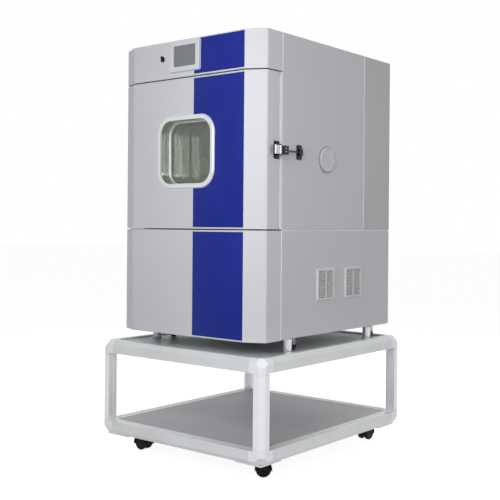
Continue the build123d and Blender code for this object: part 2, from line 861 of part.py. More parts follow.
def build_cabinet():
    upper_low = seam_z + half_gap
    lower_high = seam_z - half_gap
    deck_x = half_w - panel_fold - fit_gap
    port_hole = rod_x(port_bore_radius + port_wall, -half_w - 5, half_w + 5, port_y, port_z)
    for name, side in (("left", -1), ("right", 1)):
        panel = side_panel(side, body_y, rear_y - 1, upper_low, top_z, port_hole)
        nodes["side_panel_upper_" + name] = panel
    panel_low = bottom_z + panel_lift
    nodes["side_panel_lower_left"] = side_panel(-1, body_y, back_y - sheet, panel_low, lower_high)
    vent = grille_size - 2 * grille_frame + 2
    vents = None
    for y in (grille_front_y, grille_front_y + grille_pitch):
        z = bottom_z + grille_height
        cut = Pos(half_w, y, z) * Box(2 * panel_fold, vent, vent)
        vents = cut if vents is None else vents + cut
    nodes["side_panel_lower_right"] = side_panel(1, body_y, back_y - sheet, panel_low, lower_high, vents)

    # Deck between the machine compartment and the insulated body
    mid_x = half_w - sheet - mid_deck_gap
    mid_back = back_y - sheet - mid_deck_gap
    nodes["mid_deck"] = span(-mid_x, mid_x, body_y + sheet, mid_back, lower_high, upper_low)

    base_top = bottom_z + base_rise
    base = span(-deck_x, deck_x, body_y + sheet, back_y - 2 * sheet, bottom_z, base_top)
    base -= span(
        -deck_x + base_sheet,
        deck_x - base_sheet,
        body_y + sheet + base_sheet,
        back_y - 2 * sheet - base_sheet,
        bottom_z + base_sheet,
        base_top + 1,
    )
    feet = []
    foot_low = deck_top + foot_pad_height
    nut_low = bottom_z - foot_nut_height
    stem_top = base_top - foot_stem_short
    for x in (-half_w + foot_inset_x, half_w - foot_inset_x):
        for y in (foot_front_y, foot_rear_y):
            hole_radius = foot_stem_radius + foot_hole_gap
            base -= rod_z(hole_radius, bottom_z - 1, bottom_z + base_sheet + 1, x, y)
            base -= rod_z(foot_relief_radius, bottom_z + base_sheet, base_top + 1, x, y)
            foot = rod_z(foot_pad_radius, deck_top, foot_low, x, y)
            foot = fillet(foot.edges(), foot_edge_round)
            foot += rod_z(foot_radius, foot_low - 1, nut_low + 1, x, y)
            foot += rod_z(foot_nut_radius, nut_low, bottom_z, x, y)
            foot += rod_z(foot_stem_radius, nut_low, stem_top, x, y)
            feet.append(foot)
    nodes["base_frame"] = base
    nodes["levelling_feet"] = Compound(children=feet)

    # Insulated body around the liner
    low = upper_low + fit_gap
    high = top_z - sheet - fit_gap
    side_low = half_w - panel_fold - fit_gap
    insulation = span(-side_low, side_low, body_y + fit_gap, rear_y - fit_gap, low, high)
    hole_w = chamber_width / 2 + liner_wall
    insulation -= slab_y(
        rounded(2 * hole_w, chamber_height + 2 * liner_wall, liner_corner + liner_wall),
        body_y - 5,
        chamber_back + liner_wall,
        0,
        door_mid,
    )
    insulation -= rod_x(port_bore_radius + port_wall, -half_w, half_w, port_y, port_z)
    insulation -= rod_y(blower_shaft_radius + shaft_hole_gap, chamber_back, rear_y + 5, 0, door_mid)
    nodes["insulation"] = insulation

    liner = slab_y(
        rounded(2 * hole_w, chamber_height + 2 * liner_wall, liner_corner + liner_wall),
        body_y,
        chamber_back + liner_wall,
        0,
        door_mid,
    )
    cavity = rounded(chamber_width, chamber_height, liner_corner)
    liner -= slab_y(cavity, body_y - 1, chamber_back, 0, door_mid)
    ledge_z = chamber_low + ledge_height
    for side in (-1, 1):
        ledge_tip = side * (chamber_width / 2 - ledge_width)
        ledge_root = side * (chamber_width / 2 + liner_wall / 2)
        x_low, x_high = sorted((ledge_tip, ledge_root))
        y_low = body_y + ledge_front_gap
        y_high = baffle_y - ledge_rear_gap
        liner += span(x_low, x_high, y_low, y_high, ledge_z, ledge_z + ledge_rise)
    liner -= rod_x(port_bore_radius + port_wall, -half_w, half_w, port_y, port_z)
    shaft_hole = blower_shaft_radius + shaft_hole_gap
    liner -= rod_y(shaft_hole, chamber_back - 5, chamber_back + 5, 0, door_mid)
    nodes["liner"] = liner

    # Front frame and its seal
    collar_h = door_high - door_low
    opening = slab_y(cavity, frame_front_y - 5, body_y + 5, 0, door_mid)
    collar = slab_y(Rectangle(cabinet_width, collar_h), frame_front_y, body_y, 0, door_mid)
    nodes["front_frame"] = collar - opening
    seal_w = cabinet_width - 2 * gasket_inset
    seal_h = collar_h - 2 * gasket_inset
    seal_front = frame_front_y - gasket_thickness
    seal = slab_y(Rectangle(seal_w, seal_h), seal_front, frame_front_y, 0, door_mid)
    seal_hole = Rectangle(seal_w - 2 * gasket_width, seal_h - 2 * gasket_width)
    seal -= slab_y(seal_hole, seal_front - 5, frame_front_y + 5, 0, door_mid)
    nodes["door_gasket"] = seal

    # Roof between the side panels, rear housing as one U with its own top
    roof_back = rear_y - 1 - fit_gap
    nodes["roof_panel"] = span(-deck_x, deck_x, body_y + fit_gap, roof_back, top_z - sheet, top_z)
    rear = span(-half_w, half_w, rear_y + 1, back_y, upper_low, top_z)
    rear_edges = []
    for edge in rear.edges():
        middle = edge.center()
        at_side = abs(abs(middle.X) - half_w) < 0.01 and middle.Z > top_z - 1
        if middle.Y > back_y - 0.01 or at_side and middle.Y < back_y - 5:
            rear_edges.append(edge)
    rear = fillet(rear_edges, panel_edge_round)
    rear -= span(-half_w + sheet, half_w - sheet, rear_y, back_y - sheet, upper_low + sheet, top_z - sheet)
    nodes["rear_cover"] = rear

    rear_x = half_w - sheet - fit_gap
    rear_low = span(-rear_x, rear_x, back_y - sheet, back_y, panel_low, lower_high)
    slot_face = rounded(rear_slot_width, rear_slot_height, rear_slot_height * end_round_share)
    slot_x = -half_w * rear_slot_place_share
    for k in range(rear_slots):
        z = base_top + rear_slot_rise + k * rear_slot_height * rear_slot_pitch_share
        rear_low -= slab_y(slot_face, back_y - 5, back_y + 5, slot_x, z)
    nodes["rear_panel_lower"] = rear_low


def build_ports():
    tubes = []
    inner_x = chamber_width / 2
    for name, side in (("left", -1), ("right", 1)):
        x0, x1 = sorted((side * inner_x, side * half_w))
        tube = rod_x(port_bore_radius + port_wall, x0, x1, port_y, port_z)
        f0, f1 = sorted((side * half_w, side * port_outer_x))
        flange = rod_x(port_flange_radius, f0, f1, port_y, port_z)
        flange_edges = [e for e in flange.edges() if abs(e.center().X) > port_outer_x - 0.01]
        flange = fillet(flange_edges, port_flange_round)
        tube += flange
        g0, g1 = sorted((side * (inner_x - port_flange_thickness), side * inner_x))
        tube += rod_x(port_flange_radius, g0, g1, port_y, port_z)
        tube -= rod_x(port_bore_radius, -half_w - 20, half_w + 20, port_y, port_z)
        tubes.append(tube)
        stop_in = side * (inner_x - port_flange_thickness)
        p0, p1 = sorted((stop_in, side * (port_outer_x + fit_gap)))
        plug = rod_x(port_bore_radius - plug_radial_gap, p0, p1, port_y, port_z)
        cap_face = port_outer_x + fit_gap + plug_cap_thickness
        c0, c1 = sorted((side * (port_outer_x + fit_gap), side * cap_face))
        cap = rod_x(plug_cap_radius, c0, c1, port_y, port_z)
        cap = fillet([e for e in cap.edges() if abs(e.center().X) > cap_face - 0.01], plug_cap_round)
        d0, d1 = sorted((side * (cap_face - plug_cap_dish), side * (cap_face + 1)))
        cap -= rod_x(plug_cap_radius * plug_cap_dish_share, d0, d1, port_y, port_z)
        nodes["port_plug_" + name] = plug + cap
    nodes["port_tubes"] = Compound(children=tubes)


# Louvred grille, the feature that takes the most skill
def grille():
    """Grille centred on the origin, facing +X from the plane x = 0."""
    inner = grille_size - 2 * grille_frame
    body = extrude(Plane.YZ * rounded(grille_size, grille_size, grille_corner), grille_proud)
    front_edges = [e for e in body.edges() if e.center().X > grille_proud - 0.01]
    body = fillet(front_edges, grille_edge_round)
    body -= Box(4 * grille_proud, inner, inner)
    flange_y = inner / 2 + grille_slat_root * 2 - grille_flange / 2
    for side in (-1, 1):
        flange = Box(grille_depth, grille_flange, inner + 4 * grille_slat_root)
        body += Pos(-grille_depth / 2, side * flange_y, 0) * flange
    body += Pos(grille_mullion_depth / 2, 0, 0) * Box(grille_mullion_depth, grille_mullion, inner)
    column = (inner - grille_mullion) / 2
    count = int((inner - grille_slat_thickness) / grille_slat_pitch)
    slat = Box(grille_slat_chord, column + 2 * grille_slat_root, grille_slat_thickness)
    slat = Rot(0, grille_slat_angle, 0) * slat
    first = -(count - 1) * grille_slat_pitch / 2
    for k in range(count):
        level = Pos(grille_slat_x, 0, first + k * grille_slat_pitch)
        for side in (-1, 1):
            body += level * Pos(0, side * (grille_mullion + column) / 2, 0) * slat
    return body


def build_fans():
    z = bottom_z + grille_height
    louvre = grille()
    grilles = []
    frames = []
    fan_outer = half_w - sheet - fan_standoff
    for name, y in (("front", grille_front_y), ("rear", grille_front_y + grille_pitch)):
        grilles.append(Pos(half_w, y, z) * louvre)
        centre = fan_outer - fan_depth / 2
        frame = Pos(centre, y, z) * Box(fan_depth, fan_size, fan_size)
        frame = fillet(frame.edges().filter_by(Axis.X), fan_corner)
        frame -= rod_x(fan_opening_radius, centre - fan_depth, centre + fan_depth, y, z)
        back = fan_outer - fan_depth
        spoke = 2 * fan_opening_radius + fan_root_overlap
        spider = Box(fan_spider_thickness, spoke, fan_spider_width)
        spider += Box(fan_spider_thickness, fan_spider_width, spoke)
        spider = Pos(back + fan_spider_thickness / 2, y, z) * spider
        spider += rod_x(fan_hub_radius, back, back + fan_spider_thickness, y, z)
        spider += rod_x(fan_pin_radius, back, fan_outer - fan_pin_end, y, z)
        frame += spider
        for side in (-1, 1):
            bridge = Box(fan_standoff, fan_lip, fan_size - 2 * fan_lip)
            bridge_y = y + side * (fan_size - fan_lip) / 2
            frame += Pos(half_w - sheet - fan_standoff / 2, bridge_y, z) * bridge
        frames.append(frame)
        hub_low = back + fan_spider_thickness + fan_hub_rear
        hub_high = fan_outer - fan_hub_front
        hub = rod_x(fan_hub_radius, hub_low, hub_high, y, z)
        hub = fillet([e for e in hub.edges() if e.center().X > hub_high - 0.01], fan_hub_round)
        blade_root = fan_hub_radius - fan_root_overlap
        blade_length = fan_opening_radius - fan_tip_gap - blade_root
        blade_chord = (hub_high - hub_low) * fan_chord_share
        rotor = hub
        for k in range(fan_blades):
            blade = Rot(0, 0, fan_blade_angle) * Box(blade_chord, fan_blade_thickness, blade_length)
            blade = Pos(0, 0, blade_root + blade_length / 2) * blade
            turned = Rot(360.0 / fan_blades * k, 0, 0) * blade
            rotor += Pos((hub_low + hub_high) / 2, y, z) * turned
        rotor -= rod_x(fan_pin_radius + running_gap, hub_low - 1, fan_outer - fan_bore_end, y, z)
        nodes["fan_rotor_" + name] = rotor
    nodes["fan_grilles"] = Compound(children=grilles)
    nodes["fan_frames"] = Compound(children=frames)


def build_air_path():
    # Baffle: intake holes in the middle, air returns over its top and bottom edges
    width = chamber_width - 2 * fit_gap
    height = chamber_height - 2 * baffle_margin
    baffle_back = baffle_y + baffle_thickness
    baffle = slab_y(rounded(width, height, baffle_corner), baffle_y, baffle_back, 0, door_mid)
    holes = None
    for ring, count in ((0, 1), (1, 6), (2, 12), (3, 18)):
        radius = ring * intake_hole_radius * intake_pitch_share
        for k in range(count):
            angle = 2 * math.pi * k / count
            hole_x = radius * math.cos(angle)
            hole_z = door_mid + radius * math.sin(angle)
            hole = rod_y(intake_hole_radius, baffle_y - 1, baffle_y + 3, hole_x, hole_z)
            holes = hole if holes is None else holes + hole
    baffle -= holes
    wing_low = chamber_low + baffle_margin + baffle_wing_margin
    wing_high = chamber_high - baffle_margin - baffle_wing_margin
    for side in (-1, 1):
        x0, x1 = sorted((side * width / 2, side * (width / 2 - baffle_thickness)))
        baffle += span(x0, x1, baffle_y, chamber_back, wing_low, wing_high)
    nodes["air_baffle"] = baffle

    # Circulation blower: back plate, front shroud ring, curved blades, shaft to the motor
    back = blower_y + blower_width
    blower = rod_y(blower_radius, back, back + blower_plate, 0, door_mid)
    shroud = rod_y(blower_radius, blower_y, blower_y + blower_plate, 0, door_mid)
    shroud_radius = blower_radius * shroud_inner_share
    shroud -= rod_y(shroud_radius, blower_y - 1, blower_y + blower_plate + 1, 0, door_mid)
    blower += shroud
    blade_span = blower_radius * blower_blade_share
    blade_place = blower_radius - blade_span / 2 - blower_blade_inset
    for k in range(blower_blades):
        blade = Rot(0, blower_blade_angle, 0) * Box(blade_span, blower_width + 1, fan_blade_thickness)
        blade = Pos(blade_place, 0, 0) * blade
        turned = Rot(0, 360.0 / blower_blades * k, 0) * blade
        blower += Pos(0, blower_y + blower_width / 2 + blower_plate / 2, door_mid) * turned
    hub_front = back - blower_hub_length
    blower += rod_y(blower_hub_radius, hub_front, back, 0, door_mid)
    shaft_end = rear_y + shaft_reach
    blower += rod_y(blower_shaft_radius, hub_front, shaft_end, 0, door_mid)
    nodes["circulation_fan"] = blower

    motor_end = rear_y + motor_length
    flange_back = rear_y + motor_flange_thickness
    flange_side = 2 * (motor_radius + motor_flange_margin)
    motor = rod_y(motor_radius, flange_back, motor_end, 0, door_mid)
    motor = fillet([e for e in motor.edges() if e.center().Y > motor_end - 0.01], motor_round)
    motor += slab_y(rounded(flange_side, flange_side, motor_round), rear_y, flange_back, 0, door_mid)
    rib_turn = 360.0 / motor_ribs
    for k in range(motor_ribs):
        rib = Box(motor_rib_width, motor_length * motor_rib_share, motor_rib_thickness)
        turned = Rot(0, rib_turn * (k + 0.5), 0) * Pos(motor_radius + 1, 0, 0) * rib
        motor += Pos(0, rear_y + motor_length * motor_rib_middle, door_mid) * turned
    motor -= rod_y(blower_shaft_radius + running_gap, rear_y - 1, shaft_end + 1, 0, door_mid)
    nodes["circulation_motor"] = motor

    # Evaporator below the blower: finned block on three tubes
    fin_span = chamber_width - evaporator_margin
    fin_low = chamber_low + evaporator_lift
    fin_high = fin_low + evaporator_height
    fin_front = chamber_back - evaporator_depth
    half_fin = fin_thickness / 2
    step = fin_span / (evaporator_fins - 1)
    fins = None
    for k in range(evaporator_fins):
        x = -fin_span / 2 + k * step
        fin = span(x - half_fin, x + half_fin, fin_front, chamber_back, fin_low, fin_high)
        fins = fin if fins is None else fins + fin
    tube_end = fin_span / 2 + evaporator_tube_overhang
    tube_y = chamber_back - evaporator_depth / 2
    for k in (-1, 0, 1):
        tube_z = fin_low + evaporator_height * (0.5 + k * evaporator_tube_spread)
        fins += rod_x(coil_radius, -tube_end, tube_end, tube_y, tube_z)
    nodes["evaporator"] = fins

    # Heater above the blower: one bent tube carried by two strips on the liner's back
    heater_top = chamber_high - heater_top_gap - heater_pitch
    points = []
    for k in range(heater_bends):
        level = heater_top - k * heater_pitch
        end = heater_span / 2 if k % 2 == 0 else -heater_span / 2
        points += [(-end, level), (end, level)]
    path = FilletPolyline(*points, radius=heater_pitch * end_round_share)
    wire = Plane(origin=(0, tube_y, 0), x_dir=(1, 0, 0), z_dir=(0, -1, 0)) * path
    section = Plane(origin=(points[0][0], tube_y, points[0][1]), z_dir=(1, 0, 0)) * Circle(heater_radius)
    tube = sweep(section, path=Wire(wire.edges()))
    for side in (-1, 1):
        x = side * heater_span * heater_strip_share
        low = points[-1][1] - heater_strip_overhang
        high = points[0][1] + heater_strip_overhang
        tube += span(x - heater_strip_half, x + heater_strip_half, tube_y, chamber_back, low, high)
    nodes["heater"] = tube


def build_shelf():
    z = chamber_low + ledge_height + ledge_rise + shelf_rim_radius
    x = chamber_width / 2 - ledge_width / 2 - shelf_side_gap
    y0 = body_y + shelf_front_gap
    y1 = baffle_y - shelf_rear_gap
    shelf = rod_y(shelf_rim_radius, y0, y1, -x, z) + rod_y(shelf_rim_radius, y0, y1, x, z)
    shelf += rod_x(shelf_rim_radius, -x, x, y0, z) + rod_x(shelf_rim_radius, -x, x, y1, z)
    step = 2 * x / (shelf_wires + 1)
    for k in range(shelf_wires):
        shelf += rod_y(shelf_wire_radius, y0, y1, -x + step * (k + 1), z)
    nodes["shelf"] = shelf


def build_machine():
    floor = bottom_z + base_sheet
    cx = -half_w * compressor_place_share
    cy = body_y + compressor_from_front
    can_low = floor + compressor_lift
    can = rod_z(compressor_radius, can_low, can_low + compressor_height, cx, cy)
    can = fillet(can.edges(), compressor_radius * compressor_round_share)
    leg = compressor_radius * compressor_leg_share
    leg_top = floor + compressor_leg_height
    for sx in (-1, 1):
        for sy in (-1, 1):
            can += rod_z(compressor_leg_radius, floor, leg_top, cx + sx * leg, cy + sy * leg)
    seat_length = compressor_seat_length * compressor_radius
    seat_width = compressor_seat_width * compressor_radius
    seat = Box(seat_length, seat_width, compressor_seat_thickness)
    can += Pos(cx, cy, floor + compressor_seat_lift) * seat
    nodes["compressor"] = can

    back = back_y - 2 * sheet - base_sheet - condenser_rear_gap
    x0 = -half_w * rear_slot_place_share - condenser_width / 2
    fin_top = floor + condenser_height
    half_fin = fin_thickness / 2
    step = condenser_width / (condenser_fins - 1)
    block = None
    for k in range(condenser_fins):
        x = x0 + k * step
        fin = span(x - half_fin, x + half_fin, back - condenser_depth, back, floor, fin_top)
        block = fin if block is None else block + fin
    tube_left = x0 - condenser_tube_overhang
    tube_right = x0 + condenser_width + condenser_tube_overhang
    for share in (0.15, 0.38, 0.62, 0.85):
        tube_z = floor + condenser_height * share
        block += rod_x(coil_radius, tube_left, tube_right, back - condenser_depth / 2, tube_z)
    nodes["condenser"] = block


build_trolley()
build_castors()
build_front()
build_door()
build_hinges()
build_latch()
build_cabinet()
build_ports()
build_fans()
build_air_path()
build_shelf()
build_machine()

os.makedirs("parts", exist_ok=True)
for name, shape in nodes.items():
    export_step(shape, os.path.join("parts", name + ".step"))
print(len(nodes), "nodes")
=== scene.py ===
import bpy
import math
from mathutils import Matrix, Vector


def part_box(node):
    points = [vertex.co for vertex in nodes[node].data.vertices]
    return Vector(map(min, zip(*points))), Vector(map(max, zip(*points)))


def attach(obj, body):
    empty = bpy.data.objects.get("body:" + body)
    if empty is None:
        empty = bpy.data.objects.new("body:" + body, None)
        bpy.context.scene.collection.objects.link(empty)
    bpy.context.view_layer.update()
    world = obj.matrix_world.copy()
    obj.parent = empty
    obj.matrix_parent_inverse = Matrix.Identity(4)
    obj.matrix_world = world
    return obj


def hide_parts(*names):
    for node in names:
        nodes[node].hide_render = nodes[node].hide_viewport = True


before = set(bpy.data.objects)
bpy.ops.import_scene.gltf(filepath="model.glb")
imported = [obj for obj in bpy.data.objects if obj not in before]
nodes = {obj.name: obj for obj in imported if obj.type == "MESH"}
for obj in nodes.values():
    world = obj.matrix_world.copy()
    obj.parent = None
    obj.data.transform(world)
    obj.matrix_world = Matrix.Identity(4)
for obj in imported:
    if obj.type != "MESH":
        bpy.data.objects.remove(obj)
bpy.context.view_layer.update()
scene = bpy.context.scene
scene.view_settings.view_transform = "Standard"
print("frame loaded:", len(nodes), "nodes")

# Camera, lamps and studio

cameraSettings = {
    "place": (2.2080, -2.7610, 0.8770),
    "lens": 62.99,
    "sensor": 36.0,
    "shiftY": -0.0456,
    "turn": 0.68173,
    "tilt": -0.0007,
    "roll": 0.0082,
    "farthest": 60,
}


def makeCamera(s):
    bpy.ops.object.camera_add()
    camera = bpy.context.object
    camera.name = "photoCamera"
    forward = Vector((
        -math.sin(s["turn"]) * math.cos(s["tilt"]),
        math.cos(s["turn"]) * math.cos(s["tilt"]),
        math.sin(s["tilt"]),
    ))
    right = forward.cross(Vector((0, 0, 1))).normalized()
    up = right.cross(forward)
    rolledRight = right * math.cos(s["roll"]) + up * math.sin(s["roll"])
    rolledUp = up * math.cos(s["roll"]) - right * math.sin(s["roll"])
    turned = Matrix((rolledRight, rolledUp, -forward)).transposed().to_4x4()
    camera.matrix_world = Matrix.Translation(s["place"]) @ turned
    camera.data.lens = s["lens"]
    camera.data.sensor_width = s["sensor"]
    camera.data.shift_y = s["shiftY"]
    camera.data.clip_end = s["farthest"]
    scene.camera = camera


lampSettings = {
    "key": {"place": (0.81, -2.13, 1.50), "aim": (0.10, -0.3, 0.9), "size": 1.2, "power": 28,
            "gloss": True},
    "fill": {"place": (3.4, 0.2, 1.5), "aim": (0.2, 0.0, 0.7), "size": 2.4, "power": 29,
             "gloss": True},
    "left": {"place": (-3.1, 2.1, 1.6), "aim": (-0.3, 0.1, 0.8), "size": 1.8, "power": 44,
             "gloss": False},
    "rear": {"place": (-0.7, 3.8, 1.6), "aim": (0.0, 0.4, 0.8), "size": 1.8, "power": 46,
             "gloss": False},
}


def makeLamp(name, s):
    bpy.ops.object.light_add(type="AREA", location=s["place"])
    lamp = bpy.context.object
    lamp.name = name + "Lamp"
    lamp.data.size = s["size"]
    lamp.data.energy = s["power"]
    lamp.visible_camera = False
    lamp.visible_glossy = s["gloss"]  # off: the steel and the shelf do not mirror it
    aim = Vector(s["aim"]) - Vector(s["place"])
    lamp.rotation_euler = aim.to_track_quat("-Z", "Y").to_euler()


studioSettings = {"ambient": 0.17, "floorSize": 60.0, "floorColour": 0.3, "floorGlow": 0.93}


def seenDirectly(tree):
    # one for camera, mirror and glass rays, so that they meet a white room
    path = tree.nodes.new("ShaderNodeLightPath")
    first = tree.nodes.new("ShaderNodeMath")
    first.operation = "MAXIMUM"
    second = tree.nodes.new("ShaderNodeMath")
    second.operation = "MAXIMUM"
    tree.links.new(path.outputs["Is Camera Ray"], first.inputs[0])
    tree.links.new(path.outputs["Is Glossy Ray"], first.inputs[1])
    tree.links.new(first.outputs[0], second.inputs[0])
    tree.links.new(path.outputs["Is Transmission Ray"], second.inputs[1])
    return second.outputs[0]


def makeStudio(s):
    world = bpy.data.worlds.new("studioWorld")
    world.use_nodes = True
    scene.world = world
    tree = world.node_tree
    background = tree.nodes["Background"]
    background.inputs["Color"].default_value = (1, 1, 1, 1)
    level = tree.nodes.new("ShaderNodeMapRange")
    level.inputs["To Min"].default_value = s["ambient"]
    level.inputs["To Max"].default_value = 1.0
    tree.links.new(seenDirectly(tree), level.inputs["Value"])
    tree.links.new(level.outputs["Result"], background.inputs["Strength"])

    bpy.ops.mesh.primitive_plane_add(size=s["floorSize"], location=(0, 0, 0))
    floor = bpy.context.object
    floor.name = "studioFloor"
    paper = bpy.data.materials.new("floorPaper")
    paper.use_nodes = True
    tree = paper.node_tree
    tree.nodes.clear()
    output = tree.nodes.new("ShaderNodeOutputMaterial")
    mixed = tree.nodes.new("ShaderNodeAddShader")
    matt = tree.nodes.new("ShaderNodeBsdfDiffuse")
    matt.inputs["Color"].default_value = (s["floorColour"],) * 3 + (1,)
    glow = tree.nodes.new("ShaderNodeEmission")
    strength = tree.nodes.new("ShaderNodeMath")
    strength.operation = "MULTIPLY"
    strength.inputs[1].default_value = s["floorGlow"]
    tree.links.new(seenDirectly(tree), strength.inputs[0])
    tree.links.new(strength.outputs[0], glow.inputs["Strength"])
    tree.links.new(matt.outputs[0], mixed.inputs[0])
    tree.links.new(glow.outputs[0], mixed.inputs[1])
    tree.links.new(mixed.outputs[0], output.inputs["Surface"])
    floor.data.materials.append(paper)


bpy.ops.object.select_all(action="DESELECT")
makeCamera(cameraSettings)
for lampName in lampSettings:
    makeLamp(lampName, lampSettings[lampName])
makeStudio(studioSettings)
print("camera, lamps and floor made")

# Finishes: tones are written as they look on screen, 0 to 255

plainFinish = {
    "tone": (200, 200, 200),
    "spread": 0.04,       # how much lighter and darker the tone wanders
    "patch": 3.0,         # patches per metre
    "rough": (0.42, 0.52),
    "metal": 0.0,
    "grain": 600.0,       # bumps per metre
    "stretch": (1, 1, 1),
    "bump": 0.0001,
    "bumpStrength": 0.3,
    "coat": 0.0,
    "specular": 0.5,
    # upward faces take a second tone: real dust on the deck and the shelf, a painted reflection on
    # the trolley aluminium
    "dustAndSheen": 0.0,
    "dustAndSheenFrom": 0.6,      # how far up a face must look to catch dust and painted sheen
    "dustAndSheenTone": (176, 174, 168),
    "drawn": False,       # streaks along the stretch instead of patches
    "clear": 0.0,
    "ior": 1.45,
}

noiseSettings = {
    "patchDetail": 4,
    "patchRange": (0.32, 0.68),   # noise values that take the darkest and the lightest tone
    "grainDetail": 3,
    "grainRange": (0.3, 0.7),     # noise values that take the least and the most roughness
}

